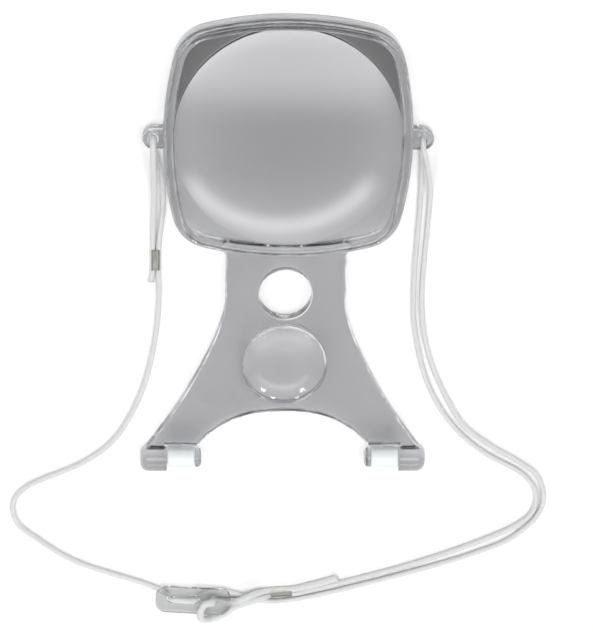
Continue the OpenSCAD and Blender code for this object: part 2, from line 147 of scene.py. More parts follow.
def lathe(name, profile, centre, axis="z", steps=128, sharp_deg=SHARP_DEG):
    """Turned solid: each (radius, height) of the profile goes round as (r cos t, r sin t, h).
    The profile starts and ends at radius 0, and those two points become the poles."""
    profile = np.array(profile, float)
    ring = profile[1:-1]
    t = np.arange(steps) * 2 * math.pi / steps
    x, y = ring[:, 0, None] * np.cos(t), ring[:, 0, None] * np.sin(t)
    points = np.stack([x, y, np.broadcast_to(ring[:, 1, None], x.shape)], axis=-1).reshape(-1, 3)
    points = np.vstack([points, [0, 0, profile[0, 1]], [0, 0, profile[-1, 1]]])
    if axis == "x":
        points = points[:, [2, 0, 1]]
    return make_mesh(name, points + np.array(centre, float), capped_faces(len(ring), steps), sharp_deg)


def inset_loop(loop, distance):
    """Anticlockwise loop moved inwards: each point goes along (n1 + n2) / (1 + n1.n2), n being the unit
    normals of its two edges, which keeps the edges parallel."""
    before = loop - np.roll(loop, 1, axis=0)
    after = np.roll(loop, -1, axis=0) - loop
    n1 = np.stack([-before[:, 1], before[:, 0]], axis=-1) / np.linalg.norm(before, axis=1)[:, None]
    n2 = np.stack([-after[:, 1], after[:, 0]], axis=-1) / np.linalg.norm(after, axis=1)[:, None]
    return loop + distance * (n1 + n2) / (1 + (n1 * n2).sum(axis=1))[:, None]


def slab(name, loop, low, high, edge, steps=4, place=None):
    """Plate with rounded edges: the loop is stacked at heights low + e (1 - sin a) with the inset
    e (1 - cos a), then the same upside down, and each end is closed with one face."""
    loop = np.array(loop, float)
    a = np.radians(np.linspace(90, 0, steps + 1))
    insets, heights = edge * (1 - np.cos(a)), edge * (1 - np.sin(a))
    levels = [(d, low + h) for d, h in zip(insets, heights)]
    levels += [(d, high - h) for d, h in zip(insets[::-1], heights[::-1])]
    points = np.vstack([np.column_stack([inset_loop(loop, d), np.full(len(loop), z)]) for d, z in levels])
    back = list(range(len(loop)))[::-1]
    front = list(range(len(points) - len(loop), len(points)))
    faces = grid_faces(len(levels), len(loop)) + [back, front]
    return make_mesh(name, points if place is None else place(points), faces)


print("points on a plate's rounded corner:", len(round_corner((0, 0), 1.0, 0, 90)))

# %% [markdown]
# ## Joining and cutting
# A moulding is one piece of plastic, so its parts are joined with booleans that leave a single skin. A turned
# solid then cuts each hole, as a core pin does in the mould.


# %% Booleans
def combine(target, tools, kind):
    """One boolean after another on target; each tool is removed once it is used."""
    for tool in tools:
        step = target.modifiers.new("step", "BOOLEAN")
        step.operation, step.object, step.solver = kind, tool, "MANIFOLD"
        done = bpy.data.meshes.new_from_object(target.evaluated_get(bpy.context.evaluated_depsgraph_get()))
        target.modifiers.clear()
        old = target.data
        target.data = done
        bpy.data.meshes.remove(old)
        bpy.data.objects.remove(tool)
    target.data.materials.clear()
    smooth(target.data, SHARP_DEG)
    print(target.name, kind.lower(), len(tools), "tools, faces", len(target.data.polygons))


def bore(name, x, y, radius, mouth, low=PLATE_BACK, high=PLATE_FRONT, past=2):
    """Turned cutter for a through hole whose mouths flare by a rounded lip of the given width."""
    wide = radius + mouth
    profile = np.vstack([
        [[0, low - past]], [[wide, low - past]],
        round_corner((wide, low + mouth), mouth, -90, -180, 6),
        round_corner((wide, high - mouth), mouth, 180, 90, 6),
        [[wide, high + past]], [[0, high + past]],
    ])
    return lathe(name, profile, (x, y, 0), steps=128)


print("plate thickness to bore through:", round(PLATE_FRONT - PLATE_BACK, 2))

# %% [markdown]
# ## The lens frame's rim
# The rim is a half-round bead on a straight wall, with a ledge inside that the lens is bonded to from
# behind. One closed profile is carried round the bowed square. Every point of the path keeps the centre of
# its own arc, so moving the profile inwards by u only shortens that arc's radius.


# %% Path round the frame
def bowed_path(per_side=40, per_corner=24):
    """Centres, radii and angles of the arcs round the frame, anticlockwise from the right side."""
    side = np.linspace(-side_a, side_a, per_side, endpoint=False)
    corner = np.linspace(side_a, math.pi / 2 - side_a, per_corner, endpoint=False)
    centres = np.vstack([np.tile([-bow_k, 0.0], (per_side, 1)), np.tile([corner_c] * 2, (per_corner, 1))])
    radii = np.r_[np.full(per_side, BOW), np.full(per_corner, CORNER_R)]
    angles = np.r_[side, corner]
    turn = np.repeat(np.arange(4) * math.pi / 2, len(angles))
    c, s = np.cos(turn), np.sin(turn)
    cx, cy = np.tile(centres[:, 0], 4), np.tile(centres[:, 1], 4)
    turned = np.stack([cx * c - cy * s, cx * s + cy * c], axis=-1)
    return turned, np.tile(radii, 4), np.tile(angles, 4) + turn


def bowed_loop(inset, **steps):
    """The frame's outline moved inwards: centre + (radius - inset) (cos a, sin a)."""
    centres, radii, angles = bowed_path(**steps)
    return centres + (radii - inset)[:, None] * np.stack([np.cos(angles), np.sin(angles)], axis=-1)


print("frame outline points", len(bowed_loop(0)))

# %% Rim
BEAD_R, BEAD_Z = 2.5, 10.3  # radius of the half-round bead, and the height of its centre
INNER_ROUND, BACK_ROUND = 0.3, 1.2  # rounding of the inner edges and of the outer back edge

rim_profile = np.vstack([
    round_corner((BEAD_R, BEAD_Z), BEAD_R, 180, 0, 24),
    round_corner((RIM_W - INNER_ROUND, SEAT_Z + INNER_ROUND), INNER_ROUND, 0, -90, 3),
    [[FRAME_WALL, SEAT_Z]],
    round_corner((FRAME_WALL - INNER_ROUND, INNER_ROUND), INNER_ROUND, 0, -90, 3),
    round_corner((BACK_ROUND + 0.05, BACK_ROUND), BACK_ROUND, -90, -180, 6),
])[::-1]
centres, radii, angles = bowed_path()
outward = np.stack([np.cos(angles), np.sin(angles)], axis=-1)[:, None]
ring_xy = centres[:, None] + (radii[:, None] - rim_profile[None, :, 0])[..., None] * outward
ring_z = np.broadcast_to(rim_profile[:, 1], ring_xy.shape[:2])
rim_points = np.concatenate([ring_xy + [0, LENS_Y], ring_z[..., None]], axis=-1).reshape(-1, 3)
body = make_mesh("body_clear_moulding", rim_points, grid_faces(len(angles), len(rim_profile), True))
print("rim faces", len(body.data.polygons))

# %% [markdown]
# ## The plate
# The plate hangs the small lens and the feet on the frame. Its outline flares from the neck to the two feet,
# and an arch leaves room for the hands between the legs. Half of the outline is drawn with curves and
# mirrored. It reaches a little way into the rim, so that the two join without a seam.

# %% Plate
NECK_X, FILLET = 27.2, 4.0  # half the neck's width, and the fillet's radius where it meets the rim
LEG_Y = LENS_Y - 148.7  # the legs' lower edges
LEG_IN, LEG_OUT = 53.9, 62.5  # where a leg runs down inside its drum
ARCH_Y = LENS_Y - 131.6  # the top of the arch
INTO_RIM = 2.2  # how far the plate reaches into the rim
PLATE_ROUND = 1.2  # radius of the plate's edges

fillet_x = NECK_X + FILLET
fillet_y = LENS_Y + bow_k - math.sqrt((BOW + FILLET) ** 2 - fillet_x**2)
touch_deg = math.degrees(math.atan2(LENS_Y + bow_k - fillet_y, -fillet_x))
inside_x = np.linspace(NECK_X + 1, 0, 8)
right = np.vstack([
    bezier([0, ARCH_Y], [20, ARCH_Y], [30, LENS_Y - 138], [39.5, LEG_Y], 32),
    [[LEG_IN, LEG_Y], [LEG_IN, FOOT_Y], [LEG_OUT, FOOT_Y]],
    bezier([63.2, FOOT_Y + 5.5], [45.5, LENS_Y - 127], [NECK_X, LENS_Y - 92], [NECK_X, LENS_Y - 77], 40),
    round_corner((fillet_x, fillet_y), FILLET, 180, touch_deg, 8),
    # the frame's lower side: arc centre minus the square root of (R - inset)^2 - x^2
    np.column_stack([inside_x, LENS_Y + bow_k - np.sqrt((BOW - INTO_RIM) ** 2 - inside_x**2)]),
])
left = right[1:-1][::-1] * [-1, 1]
plate = slab("plate", np.vstack([right, left]), PLATE_BACK, PLATE_FRONT, PLATE_ROUND, steps=6)
print("plate outline points", len(right) + len(left))

# %% [markdown]
# ## Ears and feet
# An ear on each side holds the cord. Each foot is a clear drum at the end of a leg, with a thin peg that
# points inwards and carries the sleeve. All of it comes out of the same mould, so it is joined to the rim.

# %% Ears, feet and pegs
EAR_X, EAR_R, EAR_ROUND = 59.8, 5.0, 0.8
EAR_START = HALF - 2.0  # an ear begins this far out, inside the rim
DRUM_IN, DRUM_OUT, DRUM_R = 53.3, 65.5, 6.4
DRUM_ROUND, FACE_ROUND = 4.0, 0.4  # rounding of a drum's outer end and of its inner face
PEG_END, PEG_R = 40.45, 3.0


def on_side(profile, side):
    """A profile of (radius, place) for the right foot, or mirrored for the left one and read backwards,
    so that its faces still point outwards."""
    return profile if side > 0 else profile[::-1] * [1, -1]


joined = [plate]
for side in (-1, 1):
    ear_loop = np.vstack([
        [[EAR_START, LENS_Y - EAR_R]],
        round_corner((EAR_X, LENS_Y), EAR_R, -90, 90, 24),
        [[EAR_START, LENS_Y + EAR_R]],
    ]) * [side, 1]
    joined.append(slab("ear", ear_loop[::side], PLATE_BACK, PLATE_FRONT, EAR_ROUND))
    foot_profile = np.vstack([
        [[0, PEG_END]], [[PEG_R, PEG_END]], [[PEG_R, DRUM_IN]],
        round_corner((DRUM_R - FACE_ROUND, DRUM_IN + FACE_ROUND), FACE_ROUND, -90, 0, 3),
        round_corner((DRUM_R - DRUM_ROUND, DRUM_OUT - DRUM_ROUND), DRUM_ROUND, 0, 90, 10),
        [[0, DRUM_OUT]],
    ])
    joined.append(lathe("foot", on_side(foot_profile, side), (0, FOOT_Y, MID_Z), axis="x", steps=96))
combine(body, joined, "UNION")

# %% [markdown]
# ## Holes
# The plain round hole in the plate is for hanging the magnifier up. The spot lens drops into a stepped seat
# from the front. The ears' holes have wide round mouths, because a sharp edge would saw the cord.

# %% Holes
HOLE_Y, HOLE_R, HOLE_MOUTH = LENS_Y - 74.0, 11.75, 0.8
EAR_HOLE_R, EAR_MOUTH = 1.55, 1.6
SPOT_Y, SPOT_R, SPOT_EDGE_T = LENS_Y - 108.2, 19.15, 4.0  # the spot lens: centre, radius, edge thickness
SPOT_LEDGE, SPOT_GAP = 1.4, 0.1  # width of the ledge under it, and the gap round it

ledge_z = PLATE_FRONT - SPOT_EDGE_T
spot_seat = lathe("seat", [
    [0, PLATE_BACK - 2], [SPOT_R - SPOT_LEDGE, PLATE_BACK - 2], [SPOT_R - SPOT_LEDGE, ledge_z],
    [SPOT_R + SPOT_GAP, ledge_z], [SPOT_R + SPOT_GAP, PLATE_FRONT + 2], [0, PLATE_FRONT + 2],
], (0, SPOT_Y, 0), steps=160)
combine(body, [
    bore("hole", 0, HOLE_Y, HOLE_R, HOLE_MOUTH), spot_seat,
    bore("ear_hole", EAR_X, LENS_Y, EAR_HOLE_R, EAR_MOUTH),
    bore("ear_hole", -EAR_X, LENS_Y, EAR_HOLE_R, EAR_MOUTH),
], "DIFFERENCE")

# %% [markdown]
# ## The main lens
# The blank is a dome that stands on a flat bowed-square web, polished on both faces and almost flat behind.
# The dome is wider than the frame's opening in places, so each ray from its centre ends at the round edge
# or at the frame, whichever comes first. That is why the grid is polar.


# %% Main lens
def sphere_height(r, edge_r, rise):
    """Height of a sphere cap above its edge plane: sqrt(R^2 - r^2) - (R - rise), where the edge's radius e
    and the rise give R = (e^2 + rise^2) / 2 rise."""
    big = (edge_r**2 + rise**2) / (2 * rise)
    return np.sqrt(big**2 - np.asarray(r, float) ** 2) - (big - rise)


def bowed_radius(angle, inset):
    """Distance from the centre to the inset outline along a ray, read from the outline by interpolation."""
    loop = bowed_loop(inset, per_side=200, per_corner=200)
    loop_angle = np.arctan2(loop[:, 1], loop[:, 0])
    order = np.argsort(loop_angle)
    return np.interp(angle, loop_angle[order], np.hypot(loop[:, 0], loop[:, 1])[order], period=2 * math.pi)


LENS_R, FRONT_RISE, BACK_RISE = 50.8, 7.5, 1.0
LENS_STEP = 2.0  # height of the straight step from the web up to the dome's edge
WEB_BACK = 4.3  # the web's back face
EDGE, BOND = 0.2, 0.02  # the web's bevel, and the film of bond between web and ledge
WALL_GAP, DOME_GAP = 0.12, 0.25  # room left to the frame beside the web and the step, and beside the dome
STEP_FOOT = 0.15  # how far the step's foot stands out from the dome
RAYS, RINGS = 384, 48

ray = np.linspace(-math.pi, math.pi, RAYS, endpoint=False)
dome_r = np.minimum(LENS_R, bowed_radius(ray, RIM_W + DOME_GAP))
step_r = np.minimum(dome_r + STEP_FOOT, bowed_radius(ray, RIM_W + WALL_GAP))
web_r = bowed_radius(ray, FRAME_WALL + WALL_GAP)
dome = dome_r * np.sin(np.linspace(0, math.pi / 2, RINGS + 1))[1:, None]
dome_rise = np.minimum(dome, LENS_R)
web_front = SEAT_Z - BOND
web_levels = np.array([WEB_BACK, WEB_BACK + EDGE, web_front - EDGE, web_front, web_front])
radius = np.vstack([dome, web_r - EDGE, web_r, web_r, web_r - EDGE, step_r, dome[::-1]])
height = np.vstack([
    WEB_BACK - sphere_height(dome_rise, LENS_R, BACK_RISE),
    np.repeat(web_levels[:, None], RAYS, axis=1),
    SEAT_Z + LENS_STEP + sphere_height(dome_rise[::-1], LENS_R, FRONT_RISE),
])
x, y = radius * np.cos(ray), radius * np.sin(ray) + LENS_Y
lens_points = np.vstack([
    np.stack([x, y, height], axis=-1).reshape(-1, 3),
    [0, LENS_Y, WEB_BACK - BACK_RISE], [0, LENS_Y, SEAT_Z + LENS_STEP + FRONT_RISE],
])
main_lens = make_mesh("main_lens_blank", lens_points, capped_faces(len(radius), RAYS), 25)
print("main lens faces", len(main_lens.data.polygons))

# %% [markdown]
# ## The spot lens
# The strong little lens is a plain turned disc, domed in front and almost flat behind, bonded in its seat.

# %% Spot lens
SPOT_FRONT_RISE, SPOT_BACK_RISE = 4.0, 0.4
SPOT_ROUND = 0.5  # rounding of its front edge
SPOT_BACK_GAP, SPOT_LAND = 0.15, 0.1  # room to the seat's ledge, and the flat ring round the front dome
back_r, front_r = SPOT_R - SPOT_LEDGE - SPOT_BACK_GAP, SPOT_R - SPOT_LAND
back_dome, front_dome = np.linspace(0, back_r, 30), np.linspace(front_r, 0, 30)
flange_back = ledge_z + BOND
spot_profile = np.vstack([
    np.column_stack([back_dome, flange_back - sphere_height(back_dome, back_r, SPOT_BACK_RISE)]),
    [[SPOT_R, flange_back]],
    round_corner((SPOT_R - SPOT_ROUND, PLATE_FRONT - SPOT_ROUND + 0.05), SPOT_ROUND, 0, 80, 6),
    np.column_stack([front_dome, PLATE_FRONT + sphere_height(front_dome, front_r, SPOT_FRONT_RISE)])[1:],
])
spot_lens = lathe("spot_lens_disc", spot_profile, (0, SPOT_Y, 0), steps=192, sharp_deg=20)
print("spot lens faces", len(spot_lens.data.polygons))

# %% [markdown]
# ## Sleeves and buttons on the feet
# A soft milky tube turns on each peg, and a clear domed button holds it there. A tube is turned from a
# profile that closes on itself, so it has no poles. The button is solid here, because its socket for the peg
# is out of sight.


# %% Sleeves and buttons
def ring_lathe(name, profile, centre, steps=96):
    """Turned tube about X: a closed profile of (radius, place) goes round as (place, r cos t, r sin t)."""
    t = np.arange(steps) * 2 * math.pi / steps
    r, h = profile[:, 0, None], profile[:, 1, None]
    points = np.stack([h + 0 * t, r * np.cos(t), r * np.sin(t)], axis=-1).reshape(-1, 3)
    return make_mesh(name, points + np.array(centre, float), grid_faces(len(profile), steps, True))


SLEEVE_IN, SLEEVE_OUT = 40.65, 53.05  # a sleeve's two ends
SLEEVE_R, BORE_R, SLEEVE_ROUND = 4.7, 3.06, 0.5
CAP_IN, CAP_OUT, CAP_R = 37.4, 40.4, 4.6  # a button's two ends and its radius
CAP_DOME, CAP_ROUND = 2.2, 0.3  # rounding of its domed end and of its flat end

sleeve_profile = np.vstack([
    [[BORE_R, SLEEVE_IN]],
    round_corner((SLEEVE_R - SLEEVE_ROUND, SLEEVE_IN + SLEEVE_ROUND), SLEEVE_ROUND, -90, 0, 4),
    round_corner((SLEEVE_R - SLEEVE_ROUND, SLEEVE_OUT - SLEEVE_ROUND), SLEEVE_ROUND, 0, 90, 4),
    [[BORE_R, SLEEVE_OUT]],
])
cap_profile = np.vstack([
    [[0, CAP_OUT]], [[CAP_R - CAP_ROUND, CAP_OUT]],
    round_corner((CAP_R - CAP_ROUND, CAP_OUT - CAP_ROUND), CAP_ROUND, 90, 0, 3),
    round_corner((CAP_R - CAP_DOME, CAP_IN + CAP_DOME), CAP_DOME, 0, -90, 8),
    [[0, CAP_IN]],
])[::-1]
foot_centre = (0, FOOT_Y, MID_Z)
sleeves, caps = {}, {}
for side, word in ((-1, "left"), (1, "right")):
    sleeves[word] = ring_lathe("foot_sleeve_" + word + "_vinyl", on_side(sleeve_profile, side), foot_centre)
    caps[word] = lathe("foot_cap_" + word + "_clear", on_side(cap_profile, side), foot_centre, "x", 64)
print("sleeve length", round(SLEEVE_OUT - SLEEVE_IN, 2), "button length", round(CAP_OUT - CAP_IN, 2))

# %% [markdown]
# ## The cord's way
# One white neck cord runs from the left ear through a clip to the adjuster, on round to the right ear, back,
# and ends in a loop at the adjuster. It lies loose on the table. Its way is drawn as five stretches, each
# through a few points chosen along it.

# %% Cord routes, in millimetres
FLOOR = 1.3  # height of the cord's middle where it lies on the table; a point of two numbers lies there
routes = {
    "left_front": [
        [-59.8, 53.25, 6.4], [-59.8, 53.25, 8.7], [-59.8, 52.4, 10.6], [-59.8, 50, 11.3], [-59.7, 45, 11],
        [-59.3, 30, 4.7], [-59.4, 18, 1.7], [-59.9, -1.8], [-59.95, -12.1], [-60.9, -18.4],
    ],
    "left_back": [
        [-59.8, 53.25, 6.4], [-59.8, 53.25, 4.4], [-59.8, 52.4, 2.4], [-59.6, 49.6, 1.4], [-55.6, 30],
        [-55.4, 18], [-57.3, -1.8], [-57.3, -11.9], [-57.2, -28], [-59.2, -48], [-65, -72], [-77, -95],
        [-91.4, -107], [-118.6, -120.2], [-124.4, -128], [-122.6, -138], [-112.5, -147], [-96, -157.8],
        [-62, -170.2], [-53.6, -174.3], [-51.6, -175.5, 2.3], [-51.1, -175.75, 5.6], [-49.6, -175.6, 6.6],
        [-41.2, -176.2, 6.6], [-39.75, -176.45, 5.6], [-39.7, -176.45, 4.1],
    ],
    "right_outer": [
        [-39.7, -176.45, 4.1], [-39.65, -176.45, 2.6], [-37.4, -175.6], [-31, -173.6], [-23.5, -174.1],
        [-13, -177.8], [-5, -179], [10, -177.4], [75.3, -159.5], [93, -153.2], [107, -146.8],
        [119, -135.6], [122.2, -126.5], [118.6, -114.2], [96, -98.5], [84, -89], [73, -70.5], [65.4, -50],
        [62.3, -28], [64.2, 19], [64.1, 28, 3.9], [61.6, 43.5, 10.6], [59.9, 50, 11.3],
        [59.8, 52.4, 10.6], [59.8, 53.25, 8.7], [59.8, 53.25, 6.4],
    ],
    "right_inner": [
        [59.8, 53.25, 6.4], [59.8, 53.25, 4.4], [59.8, 52.4, 2.4], [59.8, 49.6, 1.4], [60.3, 28],
        [58.4, -20], [59.4, -40], [66.4, -68], [78, -88], [92, -101.3], [112.6, -114], [118.3, -122.6],
        [117.6, -132], [111, -139], [68, -157.6], [13.5, -173.5], [9.5, -174.6], [5.65, -175.14],
    ],
    "end_loop": [
        [-4.75, -175.9], [-9, -176.4, 3.3], [-13, -177.1, 4.3], [-22.5, -182.4, 1.5], [-27.6, -186.4],
        [-32.6, -188, 1.5], [-35.6, -186.8, 3.9], [-37, -185.2, 6.2], [-37.4, -181.5, 6.6],
        [-35, -177.6, 6.6], [-33.1, -177.1, 6.6], [-31.75, -176.95, 5.6], [-31.6, -176.95, 2.3],
        [-29.6, -177.7], [-23, -178.7], [-19, -176.9, 4.3], [-12, -173.9, 3.9], [-4.85, -173.2],
        [5.8, -172.45, 1.4], [14.4, -170.6], [27.4, -166.7],
    ],
}
for word, route in routes.items():
    routes[word] = [point if len(point) == 3 else [*point, FLOOR] for point in route]
print("cord route points:", {word: len(route) for word, route in routes.items()})

# %% [markdown]
# ## The braid
# The cord is a round braid: two families of strands wind opposite ways and pass over and under each other.
# It is made in three steps: a spline that bends evenly through the points, a direction square to it that
# doesn't twist on the way, and a tube round it whose radius dips between the strands.


# %% Curve through the points
def smooth_route(points, step, fine_steps=40):
    """Curve through the points: a centripetal Catmull-Rom spline, resampled to even steps along its length.
    Between two knots t0 and t1 it blends the points a and b as ((t1 - t) a + (t - t0) b) / (t1 - t0)."""
    p = np.array(points, float)
    p = np.vstack([2 * p[0] - p[1], p, 2 * p[-1] - p[-2]])
    fine = []
    for a, b, c, d in zip(p[:-3], p[1:-2], p[2:-1], p[3:]):
        t1 = math.sqrt(np.linalg.norm(b - a))
        t2 = t1 + math.sqrt(np.linalg.norm(c - b))
        t3 = t2 + math.sqrt(np.linalg.norm(d - c))
        t = np.linspace(t1, t2, fine_steps, endpoint=False)[:, None]
        a1 = (t1 - t) / t1 * a + t / t1 * b
        a2 = (t2 - t) / (t2 - t1) * b + (t - t1) / (t2 - t1) * c
        a3 = (t3 - t) / (t3 - t2) * c + (t - t2) / (t3 - t2) * d
        b1 = (t2 - t) / t2 * a1 + t / t2 * a2
        b2 = (t3 - t) / (t3 - t1) * a2 + (t - t1) / (t3 - t1) * a3
        fine.append((t2 - t) / (t2 - t1) * b1 + (t - t1) / (t2 - t1) * b2)
    fine = np.vstack(fine + [p[-2:-1]])
    along = np.r_[0, np.cumsum(np.linalg.norm(np.diff(fine, axis=0), axis=1))]
    even = np.linspace(0, along[-1], max(8, int(along[-1] / step)))
    return np.stack([np.interp(even, along, fine[:, k]) for k in range(3)], axis=-1)


print("points on the left lead", len(smooth_route(routes["left_back"], 0.4)))


# %% Direction carried along
def carried_normals(tangent):
    """One unit vector square to each tangent. Each comes from the one before, n - t (n.t), made unit again,
    so it is a chain of steps and the only loop along the cord."""
    normal = np.zeros_like(tangent)
    start = np.cross(tangent[0], [0.3, 0.2, 1.0])
    normal[0] = start / np.linalg.norm(start)
    for k in range(1, len(tangent)):
        v = normal[k - 1] - tangent[k] * (normal[k - 1] @ tangent[k])
        normal[k] = v / np.linalg.norm(v)
    return normal


print("normal of a straight cord", carried_normals(np.tile([1.0, 0.0, 0.0], (3, 1)))[-1].round(3))

# %% [markdown]
# Where a clip or a hole squeezes the cord, the soft braid opens out beside it. A cut end is melted to a bead
# so that it doesn't fray. Both are factors on the tube's radius.

# %% Braided tube
CORD_R = 1.25
BRAID_PITCH, BRAID_DEPTH, STRANDS = 7.0, 0.08, 4  # length of one full turn, dip, strands in each family
TIP_LENGTH, TIP_SWELL, TIP_SPREAD = 0.9, 0.3, 0.8  # the melted end: its length, and its bead's rise and width


def braid_tube(name, points, swell=((0, 1), (1, 1)), melted_tip=False, step=0.4, sides=28):
    """Tube round a route. Its radius is r - depth (1 - |sin(n (a + s)) sin(n (a - s))|^0.5), where a is the
    angle round it and s the turn of a strand. swell holds (share of the length, factor) pairs."""
    route = smooth_route(points, step)
    along = np.linspace(0, 1, len(route))
    factor = np.interp(along, *np.array(swell, float).T)
    # a swollen stretch is lifted, so that nothing goes below the table
    route[:, 2] = np.maximum(route[:, 2] + CORD_R * (factor - 1), CORD_R * factor)
    tangent = np.gradient(route, axis=0)
    tangent /= np.linalg.norm(tangent, axis=1)[:, None]
    normal = carried_normals(tangent)
    other = np.cross(tangent, normal)
    a = np.arange(sides) * 2 * math.pi / sides
    s = np.arange(len(route))[:, None] * step * 2 * math.pi / BRAID_PITCH
    weave = np.abs(np.sin(STRANDS * (a + s)) * np.sin(STRANDS * (a - s))) ** 0.5
    if melted_tip:
        left = (1 - along) * len(route) * step
        bead = 1 + TIP_SWELL * np.exp(-((left - TIP_LENGTH) / TIP_SPREAD) ** 2)
        factor = factor * bead * np.sqrt(np.clip(left / TIP_LENGTH, 0.05, 1))
    r = (CORD_R - BRAID_DEPTH * (1 - weave)) * factor[:, None]
    ring = r[..., None] * (np.cos(a)[:, None] * normal[:, None] + np.sin(a)[:, None] * other[:, None])
    points = np.vstack([(route[:, None] + ring).reshape(-1, 3), route[:1], route[-1:]])
    obj = make_mesh(name, points, capped_faces(len(route), sides), 60)
    length = float(np.linalg.norm(np.diff(route, axis=0), axis=1).sum())
    print(name, "length mm", round(length, 1), "faces", len(obj.data.polygons))
    return obj, route * MM, length * MM


# %% The five stretches
swells = {
    "left_front": ((0, 1.18), (0.6, 1.15), (0.75, 1), (1, 1)),
    "end_loop": ((0, 1), (0.08, 1.35), (0.6, 1.4), (0.7, 1.1), (0.8, 1.1), (0.87, 1.35), (1, 1.2)),
}
cords = {}
for word, route in routes.items():
    if word in swells:
        cords[word] = braid_tube("cord_" + word + "_braid", route, swells[word], melted_tip=True)
    else:
        cords[word] = braid_tube("cord_" + word + "_braid", route)
print("whole cord mm", round(sum(length for _, _, length in cords.values()) / MM))

# %% [markdown]
# ## The adjuster
# The adjuster is a moulded clear tab with three holes. The cord is laced through them, so friction holds it
# where it is pulled to. It lies turned a few degrees.


# %% Adjuster tab
def turned_z(points, angle):
    """Points turned about Z: (x cos a - y sin a, x sin a + y cos a, z)."""
    x, y, z = np.asarray(points, float).T
    c, s = math.cos(angle), math.sin(angle)
    return np.column_stack([x * c - y * s, x * s + y * c, z])


TAB_AT, TAB_TURN = np.array([-40.7, -177.0, 3.0]), math.radians(-3.5)
TAB_LEN, TAB_W, TAB_T, TAB_CORNER, TAB_ROUND = 35.3, 13.4, 2.2, 5, 0.6
TAB_HOLES, TAB_HOLE_Y, TAB_HOLE_R, TAB_MOUTH = (-10.5, 1.0, 9.0), 0.6, 2.1, 0.4


def tab_place(points):
    """Turns points by the tab's angle and moves them to where the tab lies."""
    return turned_z(points, TAB_TURN) + TAB_AT


tab = slab("cord_adjuster_clear", rounded_rect(TAB_LEN, TAB_W, TAB_CORNER, 10), 0, TAB_T, TAB_ROUND,
           place=tab_place)
combine(tab, [
    bore("tab_hole", hole[0], hole[1], TAB_HOLE_R, TAB_MOUTH, low=TAB_AT[2], high=TAB_AT[2] + TAB_T)
    for hole in tab_place([[along, TAB_HOLE_Y, 0] for along in TAB_HOLES])
], "DIFFERENCE")

# %% [markdown]
# ## The clips
# Each clip is a strip of plated steel folded round two strands of cord and pinched in the middle with
# pliers. Its section is a band: an outer and an inner outline that meet at the fold's seam.

# %% Clips
CLIP_LEN, CLIP_W, CLIP_H, CLIP_WALL, CLIP_CORNER = 9.8, 4.1, 2.9, 0.4, 1.0
PINCH = 0.08  # share of its height that the middle loses
CLIP_FLOOR = 0.05  # height above the table
CLIP_STEPS = 6  # steps of each rounded corner


def clip(name, at, turn_deg):
    """The band section is carried along y, with its height times 1 - pinch sin^2(pi y / length)."""
    # turned on by the steps of one corner, so that the seam lies at the end of that corner
    outer = np.roll(rounded_rect(CLIP_W, CLIP_H, CLIP_CORNER, CLIP_STEPS), -CLIP_STEPS, axis=0)
    section = np.vstack([outer, inset_loop(outer, CLIP_WALL)[::-1]])
    y = np.linspace(0, CLIP_LEN, 21)[:, None]
    pinch = 1 - PINCH * np.sin(math.pi * y / CLIP_LEN) ** 2
    points = np.stack([section[:, 0] + 0 * y, y + 0 * section[:, 0], section[:, 1] * pinch], axis=-1)
    points = points.reshape(-1, 3)
    count, k = len(section), np.arange(len(outer) - 1)
    end = np.stack([k, k + 1, count - 2 - k, count - 1 - k], axis=-1)
    faces = [f[::-1] for f in grid_faces(len(y), count)]
    faces += end.tolist() + (end[:, ::-1] + (len(y) - 1) * count).tolist()
    points = turned_z(points, math.radians(turn_deg)) + [*at, CLIP_FLOOR + CLIP_H / 2]
    return make_mesh(name, points, faces, 40)


clip_left = clip("cord_clip_left_steel", (-58.6, -11.8), 0)
clip_right = clip("cord_clip_right_steel", (-4.3, -174.55), -86)
print("clips", clip_left.dimensions[:], clip_right.dimensions[:])

# %% [markdown]
# ## Nodes and colours
# Each material is made from nodes. Colours are the hex values a painter would pick, turned to linear light.
# Long sums are written as tables: each row names its result, the operation and what goes in.


# %% Material helpers
def linear(code):
    """sRGB hex code to linear RGBA: c / 12.92 below 0.04045, else ((c + 0.055) / 1.055)^2.4."""
    values = [int(code[k:k + 2], 16) / 255 for k in (1, 3, 5)]
    return [v / 12.92 if v <= 0.04045 else ((v + 0.055) / 1.055) ** 2.4 for v in values] + [1.0]


def add_node(tree, kind, inputs=(), **settings):
    """Adds a node. settings are the node's own; inputs gives each socket a value or the output to link."""
    made = tree.nodes.new(kind)
    for key, value in settings.items():
        setattr(made, key, value)
    for key, value in dict(inputs).items():
        if isinstance(value, bpy.types.NodeSocket):
            tree.links.new(value, made.inputs[key])
        else:
            made.inputs[key].default_value = value
    return made


def work_out(tree, known, rows):
    """Adds the nodes of a table. A row is (result, operation, inputs), and a text among the inputs is an
    earlier result. LINEAR and SMOOTHSTEP carry a value from one span to another; PRODUCT multiplies all."""
    for result, operation, *values in rows:
        values = [known[v] if isinstance(v, str) else v for v in values]
        if operation in ("LINEAR", "SMOOTHSTEP"):
            spans = dict(zip(("Value", "From Min", "From Max", "To Min", "To Max"), values))
            made = add_node(tree, "ShaderNodeMapRange", spans, interpolation_type=operation)
        elif operation == "PRODUCT":
            for value in values[1:]:
                made = add_node(tree, "ShaderNodeMath", {0: values[0], 1: value}, operation="MULTIPLY")
                values[0] = made.outputs[0]
        else:
            made = add_node(tree, "ShaderNodeMath", dict(enumerate(values)), operation=operation)
        known[result] = made.outputs[0]
    return known


def new_material(name):
    """Empty node material with its output node."""
    made = bpy.data.materials.new(name)
    made.use_nodes = True
    made.node_tree.nodes.clear()
    return made, made.node_tree, made.node_tree.nodes.new("ShaderNodeOutputMaterial")


print("mid grey in linear light", round(linear("#808080")[0], 3))

